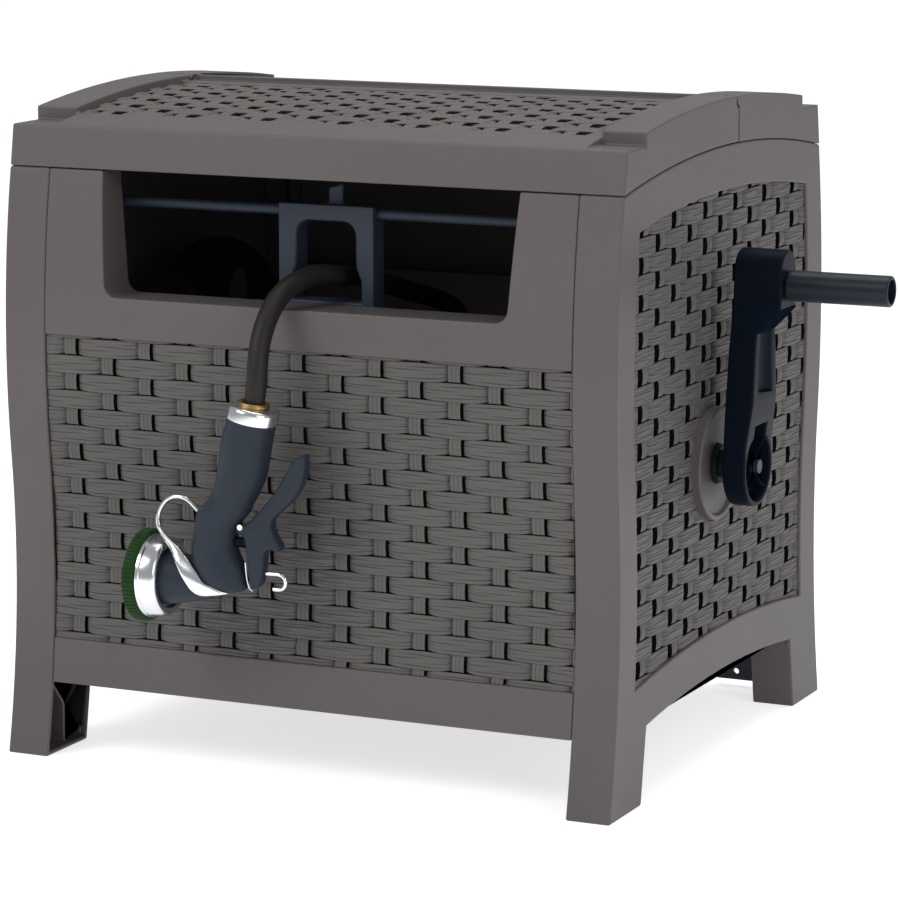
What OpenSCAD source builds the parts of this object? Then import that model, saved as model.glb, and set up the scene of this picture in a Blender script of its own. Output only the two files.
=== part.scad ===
// Hose reel box: a wicker-look cabinet with a crank reel, a level-wind hose guide and a spray nozzle.
// Millimetres. X runs across the front, Y towards the back, Z up from the floor.

/* [Cabinet] */
// width over the two end panels
cabinet_w = 580; // [500:1:660]
// half depth at the belly, the widest point of the curved front
belly_half = 252; // [240:1:290]
// height of the belly
belly_z = 365; // [330:1:400]
// radius of the convex upper part of the front
belly_r = 900; // [800:5:1000]
// how far the waist of the curved front lies behind the belly
waist_in = 10; // [7:0.5:13]
// radius of the concave lower part of the front
waist_r = 850; // [750:5:950]
// width of the corner posts and of the border round each end field
post_w = 40; // [36:1:46]
// wall of the moulded panels
wall = 4; // [3.2:0.1:4.6]
// depth of the woven fields below the border
recess = 9; // [8:0.1:10.5]
// height of the lower edge of the front panel
panel_z = 66; // [58:1:76]
// height of the rail below the woven field on the front
low_rail = 40; // [34:1:46]
// height of the rail between the woven field and the hose window
top_rail = 35.5; // [30:0.5:41]

/* [Lid] */
// height of the lower edge of the lid at the middle of a side
lid_edge_z = 544.5; // [520:0.5:600]
// radius of the lower edge of the lid
lid_edge_r = 1350; // [1200:5:1500]
// rise of the lid crown above its lower edge
crown_rise = 35; // [31:0.5:40]
// rise of the side rims above the crown
rim_rise = 5.5; // [5:0.1:6.4]
// where the lid meets the fixed rear top
seam_y = 26; // [20:1:32]
// wall of the lid and the rear top
lid_wall = 3.5; // [3:0.1:4]
// depth of the woven field in the lid
lid_recess = 6.5; // [6:0.1:7.5]
// how far the lid swings open, in degrees
lid_open = 95; // [80:1:100]

/* [Hose window] */
// half width of the window at the top
window_top_half = 197; // [170:1:225]
// half width of the window at the bottom
window_low_half = 191; // [160:1:215]
// height of the window from its sill to the lid
window_h = 108.4; // [100:0.1:116]
// corner radius of the sill
window_r = 12; // [9:1:18]
// depth of the window walls behind the front
window_depth = 45; // [38:1:52]

/* [Reel] */
// distance of the reel axis behind the hose guide
reel_back = 165; // [160:1:172]
// height of the reel axis above the floor
reel_z = 268; // [255:1:285]
// radius of the drum
drum_r = 80; // [70:1:92]
// radius of the flanges
flange_r = 172; // [150:1:190]
// space between a flange and the end panel, for the gears and bearings
reel_side = 74; // [72:1:84]
// thickness of a flange
flange_t = 6; // [5:0.5:7]
// radius of the drive shaft and of the inlet tube
shaft_r = 12; // [10:0.5:14]

/* [Hose] */
// outside diameter of the hose
hose_d = 18; // [15:0.1:21]
// space between the loops on the drum
wind_space = 1; // [0.8:0.1:1.5]

/* [Crank] */
// distance from the reel axis to the grip axis
crank_r = 160; // [135:1:185]
// radius of the crank hub
hub_r = 35; // [31:1:40]
// length of the grip
grip_l = 92; // [80:1:110]
// diameter of the grip
grip_d = 27; // [24:0.5:32]

/* [Level wind] */
// gear module
gear_m = 3; // [2.6:0.1:3.4]
// teeth on the reel gear
reel_teeth = 20; // [18:1:22]
// teeth on the screw gear
screw_teeth = 30; // [27:1:33]
// radius of the guide rod
rod_r = 4.5; // [4:0.1:5.2]
// radius of the reversing screw
screw_r = 9; // [8:0.1:10.5]
// half width of the hose guide
guide_half = 45; // [42:1:52]

/* [Weave] */
// height of one woven row
row_pitch = 15.6; // [14:0.1:18]
// spacing of the stakes
stake_pitch = 37.7; // [33:0.1:43]
// width of a stake
stake_w = 12; // [10:0.1:14]

/* [Hidden] */
$fn = 96;
// corners of the large arcs
arc_fn = 720;

// running clearance of shafts, gap between parts that move past each other, gap between fixed parts
run = 0.05;
gap = 0.5;
seat = 0.2;
// overshoot of a cut past the face that it opens
over = 1;
// far side of the shapes that bound a region
far = 400;

outer_x = cabinet_w / 2;
post_x = outer_x - post_w;
field_x = outer_x - recess;
inner_x = field_x - wall;
panel_half = post_x - seat;
tongue = 12;
tongue_t = 3;
tongue_root = 1;

// curved front: centres of the convex and the concave arc, and the height where they meet
waist_half = belly_half - waist_in;
r_sum = belly_r + waist_r;
waist_z = belly_z - sqrt(r_sum * r_sum - pow(r_sum - waist_in, 2));
// the concave arc lies back by a hair where the two meet, so that each ends on a clean edge
step = 0.03;
function turn_z(inset) = belly_z - (belly_r - inset) * (belly_z - waist_z) / r_sum;
function half_depth(z) = z > turn_z(0)
  ? belly_half - belly_r + sqrt(belly_r * belly_r - pow(z - belly_z, 2))
  : waist_half + waist_r - sqrt(waist_r * waist_r - pow(z - waist_z, 2));

// arcs of the top share one centre height
arc_z = lid_edge_z - lid_edge_r;
crown_r = lid_edge_r + crown_rise;
rim_r = crown_r + rim_rise;
field_r = crown_r - lid_recess;
border_y = belly_half - 67;
lid_margin = 18;
rear_margin = 20;
lid_rows = floor((border_y + seam_y - lid_margin) / row_pitch);
lid_field = lid_rows * row_pitch + 2 - border_y;
rear_rows = floor((border_y - seam_y - rear_margin) / row_pitch);
rear_field = border_y - rear_rows * row_pitch - 2;
rim_end = -border_y - 5;
shoulder = half_depth(lid_edge_z - 21);
function arc_height(r, y) = arc_z + sqrt(r * r - y * y);
lid_front_z = arc_height(lid_edge_r, shoulder);
corner_z = arc_height(crown_r, shoulder) + 1;
panel_top = lid_front_z - gap;

// front window and the woven field below it
sill_z = panel_top - window_h;
field_z0 = panel_z + low_rail;
field_z1 = sill_z - top_rail;

// hinge of the lid: barrel under the top of the rim, with room for the rim to swing past
hinge_r = 4;
hinge_z = arc_height(rim_r, seam_y) - hinge_r;
hinge_room = hinge_r / cos(lid_open / 2) + gap;
pin_r = 2;
knuckle_0 = post_x + 12;
knuckle_1 = outer_x - 12;
pin_end = knuckle_1 + 6;

// legs and the arch between them
leg_low = belly_half - 62;
leg_high = belly_half - 81;
arch_z = 77.5;
arch_top = arch_z + 32.5;
arch_r = 1475;
shelf_z = panel_z + 6;
rib = 3;

// level wind: axis of the screw and of the rod
guide_t = 24;
guide_y = window_depth + 17 - belly_half;
rod_z = panel_top - 31;
screw_z = rod_z - 97;
journal_r = screw_r - 3;

// reel
reel_y = guide_y + reel_back;
flange_x = inner_x - reel_side;
bush_r = shaft_r + 5;
bush_lip = 3;
boss_r = 50;
boss_x = outer_x + 6;
boss_in = inner_x - 8;
gear_x = flange_x + flange_t + 4;
gear_w = 12;
hub_in = flange_x - 40;
core_r = drum_r + hose_d;
wind_pitch = hose_d + wind_space;
wind_r = core_r + 0.5 + hose_d / 2;
wind_turns = floor((2 * flange_x - hose_d - 4) / wind_pitch);
wind_x0 = -wind_turns * wind_pitch / 2;

// the idler spans what is left between the reel gear and the screw gear
lead = wind_pitch * screw_teeth / reel_teeth;
vy = guide_y - reel_y;
vz = screw_z - reel_z;
v_len = norm([vy, vz]);
idler_teeth = ceil(v_len / gear_m - (reel_teeth + screw_teeth) / 2);
idler_root = gear_m * (idler_teeth / 2 - 1.25);
stud_r = 8;
d_ri = gear_m * (reel_teeth + idler_teeth) / 2;
d_is = gear_m * (idler_teeth + screw_teeth) / 2;
along = (d_ri * d_ri - d_is * d_is + v_len * v_len) / (2 * v_len);
side = sqrt(d_ri * d_ri - along * along);
idler_y = reel_y + along * vy / v_len - side * vz / v_len;
idler_z = reel_z + along * vz / v_len + side * vy / v_len;
// direction angles of the two meshes, and the turn of each gear that sets tooth in gap
mesh_1 = atan2(idler_z - reel_z, idler_y - reel_y);
mesh_2 = atan2(screw_z - idler_z, guide_y - idler_y);
idler_turn = mesh_1 + 180 + mesh_1 * reel_teeth / idler_teeth - 180 / idler_teeth;
screw_turn = mesh_2 + 180 + (mesh_2 - idler_turn) * idler_teeth / screw_teeth - 180 / screw_teeth;

// crank
arm_x0 = outer_x + 20;
arm_x1 = outer_x + 41;
arm_mid = outer_x + 46;
block_x = outer_x + 66;
shaft_end = arm_x1 - 16;
grip_z = reel_z + crank_r;
block_half = 19;
arm_top = grip_z + 12 + block_half;
grip_x0 = block_x + 1;
grip_x1 = grip_x0 + grip_l;
spindle_r = 6;
spindle_in = arm_x0 + 12;
grip_wall = 3;
grip_hollow = 12;

// inlet on the other end
elbow_x0 = -(outer_x + 52);
elbow_x1 = -(outer_x + 9);
spigot_x = (elbow_x0 + elbow_x1) / 2 - 4;
spigot_r = 13.3;
elbow_stop = elbow_x0 + 13;
bore_r = shaft_r - 4;
spigot_bore = 9;

x_mid = (grip_x1 + elbow_x0) / 2;

// nozzle: plane of the nozzle, height of its head axis, end of the hose, trigger pivot
noz_y = -belly_half - 48;
head_z = 185;
hose_end = [-19.5, 153];
tilt = 9.5;
barrel_r = 21;
pivot = [-31.2, 48];
trigger_half = 9;
trigger_pin_r = 2.5;

// draws a shape given in Y and Z, from x0 to x1
module yz(x0, x1) translate([x0, 0, 0]) rotate([90, 0, 90]) linear_extrude(x1 - x0) children();
// draws a shape given in X and Z, from y0 to y1
module xz(y0, y1) translate([0, y1, 0]) rotate([90, 0, 0]) linear_extrude(y1 - y0) children();
// round bar along X on the axis (y, z)
module bar(x0, x1, y, z, r) yz(x0, x1) translate([y, z]) circle(r);
// the same on both ends of the cabinet
module both() {
  children();
  mirror([1, 0, 0]) children();
}
// moves the cabinet frame so that the whole box stands centred on the origin
module placed() translate([-x_mid, 0, 0]) children();

// side view of the cabinet between its curved front and back, moved in by inset
module depth_region(inset) {
  zt = turn_z(inset);
  intersection() {
    translate([belly_half - belly_r, belly_z]) circle(belly_r - inset, $fn = arc_fn);
    translate([belly_r - belly_half, belly_z]) circle(belly_r - inset, $fn = arc_fn);
    translate([-far, zt]) square([2 * far, far]);
  }
  difference() {
    translate([-far, -20]) square([2 * far, zt + 20]);
    translate([waist_half + waist_r, waist_z]) circle(waist_r + inset + step, $fn = arc_fn);
    translate([-waist_half - waist_r, waist_z]) circle(waist_r + inset + step, $fn = arc_fn);
  }
}

// everything below an arc of the top
module under_arc(r) intersection() {
  translate([0, arc_z]) circle(r, $fn = arc_fn);
  translate([-far, -20]) square(2 * far);
}

// outline of an end panel with its two legs
module end_outline(inset) difference() {
  intersection() {
    depth_region(inset);
    under_arc(lid_edge_r - gap - inset);
    translate([-far, inset]) square(2 * far);
  }
  intersection() {
    translate([0, arch_z - arch_r]) circle(arch_r + inset, $fn = arc_fn);
    polygon([
      [-leg_low - inset, -over], [leg_low + inset, -over],
      [leg_high + inset, arch_top], [-leg_high - inset, arch_top]
    ]);
  }
}

// woven field of an end panel
module end_field(inset) difference() {
  intersection() {
    depth_region(post_w + inset);
    under_arc(lid_edge_r - post_w + 1 - inset);
    translate([-far, arch_z]) square(2 * far);
  }
  translate([0, arch_z - arch_r]) circle(arch_r + post_w + inset, $fn = arc_fn);
}

// ribs in a leg: a slanted one, an upright one and a shelf
module leg_ribs() {
  polygon([
    [leg_low - 4, rib], [leg_low, rib], [leg_low + 62, shelf_z + 4], [leg_low + 58, shelf_z + 4]
  ]);
  translate([leg_low + 29 - rib / 2, rib]) square([rib, shelf_z]);
  translate([leg_low - 12, shelf_z]) square([84, rib]);
}

// right end panel; the left one is its mirror image
module end_panel() difference() {
  union() {
    difference() {
      yz(post_x, outer_x) end_outline(0);
      yz(post_x - over, inner_x) end_outline(wall);
      yz(inner_x - over / 2, outer_x - wall) difference() {
        end_outline(wall);
        end_field(-wall);
      }
      yz(field_x, outer_x + over) end_field(0);
    }
    // round boss for the reel bearing
    bar(boss_in, boss_x - 3, reel_y, reel_z, boss_r);
    yz(boss_x - 4, boss_x) translate([reel_y, reel_z]) difference() {
      circle(boss_r);
      circle(boss_r - 5);
    }
    // sockets of the guide rod and of the screw
    bar(inner_x - 14, field_x - 0.5, guide_y, rod_z - 6, rod_r + 8);
    bar(inner_x - 14, field_x - 0.5, guide_y, screw_z, screw_r + 5);
    yz(post_x + 6, outer_x - wall / 2) intersection() {
      end_outline(wall / 2);
      union() {
        leg_ribs();
        mirror([1, 0]) leg_ribs();
      }
    }
  }
  bar(post_x, boss_x + over, reel_y, reel_z, bush_r);
  bar(post_x, field_x - 3, guide_y, rod_z, rod_r + run);
  bar(post_x, field_x - 3, guide_y, screw_z, journal_r + run);
}

module right_end_panel() color("#676161") placed() {
  end_panel();
  bar(inner_x - 12, field_x - 1, idler_y, idler_z, stud_r + 6);
}

module left_end_panel() color("#676161") placed() mirror([1, 0, 0]) end_panel();

// strip of the curved front between two depths and two heights
module front_band(in0, in1, z0, z1) intersection() {
  difference() {
    depth_region(in0);
    depth_region(in1);
  }
  translate([-far, z0]) square([far - 100, z1 - z0]);
}

// section of the front panel, with the woven field set back
module panel_section() {
  front_band(0, wall, panel_z, field_z0);
  front_band(0, recess + wall, panel_z, panel_z + wall);
  front_band(0, recess + wall, field_z0 - wall, field_z0);
  front_band(recess, recess + wall, field_z0 - wall, field_z1 + wall);
  front_band(0, recess + wall, field_z1, field_z1 + wall);
  front_band(0, wall, field_z1, panel_top);
}

// panel with tongues that slide behind the corner posts, above the shelf in the leg
module curved_panel() {
  yz(-panel_half, panel_half) panel_section();
  both() yz(panel_half - tongue_root, panel_half + tongue)
    front_band(wall + seat, wall + seat + tongue_t, shelf_z + 2 * rib + gap, panel_top - wall - 2);
}

// front view of the hose window, grown by g, open at the top
function corner(cx, a0, g) = [for (i = [0:6])
  [cx + (window_r + g) * cos(a0 + i * 15), sill_z + window_r + (window_r + g) * sin(a0 + i * 15)]];
module window_outline(g) polygon(concat(
  [[-window_top_half - g, panel_top + 30], [-window_top_half - g, panel_top]],
  corner(window_r - window_low_half, 180, g),
  corner(window_low_half - window_r, 270, g),
  [[window_top_half + g, panel_top], [window_top_half + g, panel_top + 30]]));

module front_panel() color("#6a6464") placed() {
  difference() {
    curved_panel();
    xz(-far, guide_y + guide_t) window_outline(0);
  }
  intersection() {
    xz(-far, window_depth - half_depth(sill_z)) difference() {
      window_outline(lid_wall);
      window_outline(0);
    }
    yz(-post_x, post_x) intersection() {
      depth_region(0.01);
      translate([-far, 0]) square([2 * far, panel_top]);
    }
  }
}

module back_panel() color("#676161") placed() mirror([0, 1, 0]) curved_panel();

// woven rows: profile of one row along X, stakes over at every second crossing
crest = 3.2;
dip = 2;
function row_points(n, odd) = [for (k = [-n:n]) if ((k + n + odd) % 2 == 0)
  for (p = [
    [-stake_w / 2 - dip, 0], [-stake_w / 2, 1.8], [-stake_w / 4, 2.4], [stake_w / 4, 2.4],
    [stake_w / 2, 1.8], [stake_w / 2 + dip, 0], [stake_w / 2 + 2 * dip, 1.6],
    [stake_pitch - stake_w / 2, crest - 0.2], [stake_pitch + stake_w / 2, crest - 0.2],
    [2 * stake_pitch - stake_w / 2 - 2 * dip, 1.6]
  ]) [k * stake_pitch + p[0], p[1]]];
// one row lying along X, its face towards +Y, row height along Z
row_sunk = 0.5;
module woven_row(half, odd) {
  n = ceil(half / stake_pitch) + 2;
  end = (n + 3) * stake_pitch;
  translate([0, 0, 0.4 - row_pitch / 2]) linear_extrude(row_pitch - 0.8) intersection() {
    polygon(concat(row_points(n, odd), [[end, 0], [end, -row_sunk], [-end, -row_sunk], [-end, 0]]));
    translate([-half, -over]) square([2 * half, 10]);
  }
}

// woven skin of the curved front, on its bed in the panel
skin = 2.6;
bed = 0.3;
module front_skin() {
  rows = floor((field_z1 - field_z0 - 1) / row_pitch);
  z0 = (field_z0 + field_z1 - rows * row_pitch) / 2;
  half = panel_half - tongue_root - seat;
  yz(-half, half) front_band(recess - skin, recess - bed, field_z0 + seat, field_z1 - seat);
  for (i = [0:rows - 1]) {
    z = z0 + (i + 0.5) * row_pitch;
    slope = atan((half_depth(z + 1) - half_depth(z - 1)) / 2);
    translate([0, -half_depth(z) + recess - skin + 0.3, z]) rotate([-slope, 0, 0]) mirror([0, 1, 0])
      woven_row(half - seat, i % 2);
  }
}
module front_weave() color("#585754") placed() front_skin();
module back_weave() color("#585754") placed() mirror([0, 1, 0]) front_skin();

// woven skin of an end panel, clipped by the field and open round the boss
module end_skin() {
  z0 = arch_z + post_w - 14;
  rows = floor((lid_edge_z - post_w - z0) / row_pitch) + 1;
  difference() {
    union() {
      yz(field_x + bed, field_x + skin) end_field(seat);
      intersection() {
        yz(field_x + bed, outer_x) end_field(seat);
        for (i = [0:rows - 1]) translate([field_x + skin, 0, z0 + (i + 0.5) * row_pitch]) rotate([0, 0, -90])
          woven_row(belly_half - post_w + 2, i % 2);
      }
    }
    bar(field_x - over, outer_x + over, reel_y, reel_z, boss_r + seat);
  }
}
module right_weave() color("#585754") placed() end_skin();
module left_weave() color("#585754") placed() mirror([1, 0, 0]) end_skin();

// woven skin of the top: a base of flat facets laid round the crown from y0, with a row on each
function crown_angle(y) = asin(y / field_r);
function crown_point(r, a) = [r * sin(a), arc_z + r * cos(a)];
module top_skin(y0, rows) {
  edges = [for (i = [0:rows]) crown_angle(y0 + i * row_pitch)];
  lower = [for (a = edges) crown_point(field_r + bed, a)];
  upper = [for (i = [rows:-1:0]) crown_point(field_r + skin, edges[i])];
  yz(seat - post_x, post_x - seat) polygon(concat(lower, upper));
  for (i = [0:rows - 1]) {
    mid = (edges[i] + edges[i + 1]) / 2;
    at = crown_point((field_r + skin) * cos(edges[i + 1] - mid) - 0.2, mid);
    translate([0, at[0], at[1]]) rotate([90 - mid, 0, 0]) woven_row(post_x - 2 * seat, i % 2);
  }
}
module lid_weave() color("#585754") placed() top_skin(1 - border_y, lid_rows);
module rear_top_weave() color("#585754") placed() top_skin(rear_field + 1, rear_rows);

// ring between two arcs of the top, from y0 to y1
module arc_band(r0, r1, y0, y1) intersection() {
  difference() {
    translate([0, arc_z]) circle(r1, $fn = arc_fn);
    translate([0, arc_z]) circle(r0, $fn = arc_fn);
  }
  translate([y0, lid_edge_z - 150]) square([y1 - y0, 300]);
}

// front half of the top up to y1, with its woven field from f0 to f1
module top_shell(y1, f0, f1) {
  inside = -shoulder + lid_wall + 3;
  difference() {
    union() {
      difference() {
        yz(-outer_x, outer_x) intersection() {
          arc_band(lid_edge_r, crown_r, -far, y1);
          polygon([
            [-shoulder, 0], [-shoulder, lid_front_z], [-shoulder + 6, corner_z],
            [-shoulder + 6, 2 * far], [far, 2 * far], [far, 0]
          ]);
        }
        both() translate([post_x, -far, corner_z]) cube([post_w + over, far + rim_end, 100]);
      }
      both() yz(post_x, outer_x) arc_band(crown_r - 1, rim_r, rim_end, y1);
    }
    // hollow underside
    yz(-outer_x + lid_wall, outer_x - lid_wall)
      arc_band(lid_edge_r - 20, field_r - lid_wall, inside, y1 + over);
    yz(-post_x + lid_wall, post_x - lid_wall)
      arc_band(field_r - lid_wall - 1, crown_r - lid_wall, inside + 3, f0 - lid_wall);
    both() yz(post_x + lid_wall, outer_x - lid_wall)
      arc_band(field_r - lid_wall - 1, rim_r - lid_wall, -border_y, y1 - 10);
    // woven field
    yz(-post_x, post_x) arc_band(field_r, rim_r + 5, f0, f1);
  }
}

module on_hinge(x0, x1, r) both() bar(x0, x1, seam_y, hinge_z, r);

module lid() color("#6a6464") placed() difference() {
  union() {
    top_shell(seam_y - gap, -border_y, lid_field);
    on_hinge(knuckle_0, knuckle_1, hinge_r);
  }
  on_hinge(post_x, knuckle_1 + over, pin_r + run);
  // room for the ears of the rear top
  on_hinge(post_x - over, knuckle_0, hinge_room);
  on_hinge(knuckle_1, outer_x + over, hinge_room);
}

module rear_top() color("#676161") placed() difference() {
  union() {
    difference() {
      mirror([0, 1, 0]) top_shell(-seam_y - gap, -border_y, -rear_field);
      on_hinge(knuckle_0 - gap, knuckle_1 + gap, hinge_room);
    }
    on_hinge(post_x, knuckle_0 - gap, hinge_r);
    on_hinge(knuckle_1 + gap, outer_x, hinge_r);
    // ridge along the seam
    yz(-post_x, post_x) arc_band(crown_r - 1, rim_r - 1, seam_y + 7, seam_y + 14);
  }
  on_hinge(post_x - over, pin_end, pin_r);
}

module hinge_pins() color("#8a8d90") placed() on_hinge(post_x + 1, pin_end, pin_r);

// ground anchor tabs at the foot of the back, each a plate with a foot inside the leg
tab_t = 5;
tab_w = 40;
tab_top = 32;
tab_y = half_depth(tab_top) - wall - gap - tab_t;
module anchor_tab() difference() {
  union() {
    translate([post_x - 57, tab_y, 6]) cube([tab_w, tab_t, tab_top - 6]);
    translate([post_x - 20, tab_y, 14]) cube([post_w + 20 - wall - seat, tab_t, tab_top - 14]);
  }
  translate([post_x - 38, tab_y - over, 14]) rotate([-90, 0, 0]) cylinder(r = 3, h = tab_t + 2 * over);
}
module anchor_tabs() color("#3c4654") placed() both() anchor_tab();

module bearing() difference() {
  union() {
    bar(boss_in, boss_x + 2, reel_y, reel_z, bush_r - run);
    bar(boss_in - bush_lip, boss_in, reel_y, reel_z, bush_r + 5);
  }
  bar(post_x, boss_x + 5, reel_y, reel_z, shaft_r + run);
}
module crank_side_bearing() color("#9aa0a4") placed() bearing();
module inlet_side_bearing() color("#9aa0a4") placed() mirror([1, 0, 0]) bearing();

module guide_rod() color("#3c4654") placed() bar(4 - field_x, field_x - 4, guide_y, rod_z, rod_r);

module idler_stud() color("#8a8d90") placed() {
  bar(gear_x - 3, inner_x - 12, idler_y, idler_z, stud_r);
  bar(gear_x - 3, gear_x - gap, idler_y, idler_z, stud_r + 4);
}

module reel_drum() color("#2b3038") placed() difference() {
  bar(-flange_x, flange_x, reel_y, reel_z, drum_r);
  bar(-flange_x - over, flange_x + over, reel_y, reel_z, drum_r - wall);
}

// flange with rim, ribs, hub and round lightening holes
module flange() difference() {
  union() {
    bar(flange_x, flange_x + flange_t / 2, reel_y, reel_z, flange_r);
    yz(flange_x, flange_x + flange_t) translate([reel_y, reel_z]) {
      difference() {
        circle(flange_r);
        circle(flange_r - 6);
      }
      difference() {
        circle(drum_r + 4);
        circle(drum_r - wall);
      }
      for (a = [0:45:315]) rotate(a) translate([drum_r, -rib / 2]) square([flange_r - drum_r - 3, rib]);
    }
    bar(hub_in, flange_x + flange_t, reel_y, reel_z, bush_r);
  }
  bar(hub_in - over, flange_x + 50, reel_y, reel_z, shaft_r);
  for (a = [22.5:45:360]) yz(flange_x - over, flange_x + 20) translate([reel_y, reel_z]) rotate(a)
    translate([(drum_r + flange_r) / 2 + 2, 0]) circle((flange_r - drum_r) / 4 - 3);
}
module right_flange() color("#2b3038") placed() flange();
module left_flange() color("#2b3038") placed() mirror([1, 0, 0]) flange();

// gear outline: slim straight-flanked teeth on the pitch circle
function gear_points(n) = let (r = gear_m * n / 2, p = 360 / n) [for (i = [0:n - 1]) for (q = [
    [-0.27, -1.25], [-0.22, 0], [-0.11, 0.9], [0.11, 0.9], [0.22, 0], [0.27, -1.25]
  ]) let (a = (i + q[0]) * p, w = r + q[1] * gear_m) [w * cos(a), w * sin(a)]];
module gear(n, turn, bore, y, z) yz(gear_x, gear_x + gear_w) translate([y, z]) difference() {
  rotate(turn) polygon(gear_points(n));
  circle(bore);
}
module reel_gear() color("#c9c6bd") placed() gear(reel_teeth, 0, shaft_r, reel_y, reel_z);
module idler_gear() color("#c9c6bd") placed() difference() {
  gear(idler_teeth, idler_turn, stud_r + run, idler_y, idler_z);
  for (a = [0:60:300]) yz(gear_x - over, gear_x + gear_w + over) translate([idler_y, idler_z]) rotate(a + 15)
    translate([(idler_root + stud_r) / 2, 0]) circle((idler_root - stud_r) / 4 - 1);
}
module screw_gear() color("#c9c6bd") placed() gear(screw_teeth, screw_turn, journal_r, guide_y, screw_z);

module hose_core() color("#24221f") placed() difference() {
  bar(1 - flange_x, flange_x - 1, reel_y, reel_z, core_r);
  bar(-flange_x, flange_x, reel_y, reel_z, drum_r + 0.1);
}

// tube swept along points: a ring of n corners square to the run at each point
function unit(v) = v / norm(v);
function tangent(p, i) = let (a = max(i - 1, 0), b = min(i + 1, len(p) - 1)) unit(p[b] - p[a]);
function ring(c, t, up, r, n) = let (s = unit(cross(t, up)), w = cross(s, t))
  [for (k = [0:n - 1]) c + r * (cos(360 * k / n) * s + sin(360 * k / n) * w)];
// sides and ends of a body whose m rings of n corners follow each other
function ring_faces(m, n) = let (last = (m - 1) * n) concat(
  [for (i = [0:m - 2]) for (k = [0:n - 1]) let (a = i * n + k, b = i * n + (k + 1) % n)
    each [[a, b + n, b], [a, a + n, b + n]]],
  [for (k = [1:n - 2]) each [[0, k, k + 1], [last, last + k + 1, last + k]]]);
module tube(p, ups, r, n) polyhedron(
  points = [for (i = [0:len(p) - 1]) each ring(p[i], tangent(p, i), ups[i], r, n)],
  faces = ring_faces(len(p), n), convexity = 10);

// outer layer of the hose on the drum, its two ends straight for one diameter
wind_steps = 24;
wind_loops = [for (i = [0:wind_turns * wind_steps]) let (a = 360 * i / wind_steps)
  [wind_x0 + wind_pitch * i / wind_steps, reel_y + wind_r * cos(a), reel_z + wind_r * sin(a)]];
wind_path = concat(
  [wind_loops[0] - [0, 0, hose_d]], wind_loops, [wind_loops[wind_turns * wind_steps] + [0, 0, hose_d]]);
wind_gap = min([for (i = [0:len(wind_path) - wind_steps - 3]) for (j = [wind_steps - 2:wind_steps + 2])
  norm(wind_path[i + j] - wind_path[i])]) - hose_d;
echo(wind_gap = wind_gap);
module hose_winding() color("#24221f") placed()
  tube(wind_path, [for (q = wind_path) unit([0, q[1] - reel_y, q[2] - reel_z])], hose_d / 2, 6);

module drive_shaft() color("#9aa0a4") placed() bar(hub_in, shaft_end, reel_y, reel_z, shaft_r);
module inlet_tube() color("#b08a3c") placed() difference() {
  bar(elbow_stop + 1, -hub_in, reel_y, reel_z, shaft_r);
  bar(elbow_stop, -hub_in - 10, reel_y, reel_z, bore_r);
}

// crank: tapered arm with an open hub and a block that carries the grip
module arm_front() {
  circle(hub_r);
  polygon([
    [-hub_r, 0], [hub_r, 0], [hub_r - 8.5, crank_r - 60], [block_half, crank_r - 10],
    [block_half, crank_r + 12], [-block_half, crank_r + 12], [-block_half, crank_r - 10],
    [8.5 - hub_r, crank_r - 60]
  ]);
  translate([0, crank_r + 12]) circle(block_half);
}
module arm_side() polygon([
  [arm_x0, reel_z - hub_r - 15], [arm_x1, reel_z - hub_r - 15], [arm_x1, reel_z + 20],
  [arm_mid, reel_z + 60], [arm_mid, grip_z - 40], [block_x, grip_z - 20], [block_x, arm_top + 5],
  [arm_x0 + 3, arm_top + 5], [arm_x0, reel_z + 40]
]);
module crank_arm() color("#161e2a") placed() difference() {
  intersection() {
    yz(arm_x0, block_x) translate([reel_y, reel_z]) arm_front();
    xz(reel_y - 100, reel_y + 100) arm_side();
  }
  // open hub with a cross of thin ribs
  difference() {
    yz(arm_x1 - 13, arm_x1 + 30) translate([reel_y, reel_z]) {
      circle(hub_r - 5);
      translate([-14, 0]) square([28, hub_r + 2]);
    }
    yz(arm_x1 - 20, arm_x1 + 31) translate([reel_y, reel_z]) {
      circle(9);
      for (a = [45, 135]) rotate(a) translate([-60, -1.2]) square([120, 2.4]);
    }
  }
  yz(arm_x1 - 3, arm_x1 + 32) translate([reel_y, reel_z]) circle(hub_r - 5);
  // hollow channel on the outer face
  translate([arm_mid + 24, reel_y, reel_z + 66]) cylinder(r = 30, h = crank_r - 88);
  // seat on the shaft, screw and spindle
  bar(arm_x0 - over, shaft_end, reel_y, reel_z, shaft_r);
  bar(arm_x0, arm_x1 + 40, reel_y, reel_z, 3);
  bar(spindle_in, block_x + over, reel_y, grip_z, spindle_r);
}
module crank_screw() color("#8a8d90") placed() {
  bar(shaft_end, arm_x1 - 3, reel_y, reel_z, 3);
  bar(arm_x1 - 3, arm_x1 + 1, reel_y, reel_z, 6);
}
module grip_spindle() color("#8a8d90") placed()
  bar(spindle_in, grip_x1 - grip_hollow - 2, reel_y, grip_z, spindle_r);
module crank_grip() color("#161e2a") placed() translate([0, reel_y, grip_z]) rotate([0, 90, 0])
  rotate_extrude() polygon([
    [spindle_r + run, grip_x0], [grip_d / 2 - 1, grip_x0], [grip_d / 2, grip_x0 + 1],
    [grip_d / 2, grip_x1 - 1], [grip_d / 2 - 1, grip_x1], [grip_d / 2 - grip_wall, grip_x1],
    [grip_d / 2 - grip_wall, grip_x1 - grip_hollow], [spindle_r + run, grip_x1 - grip_hollow]
  ]);

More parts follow.
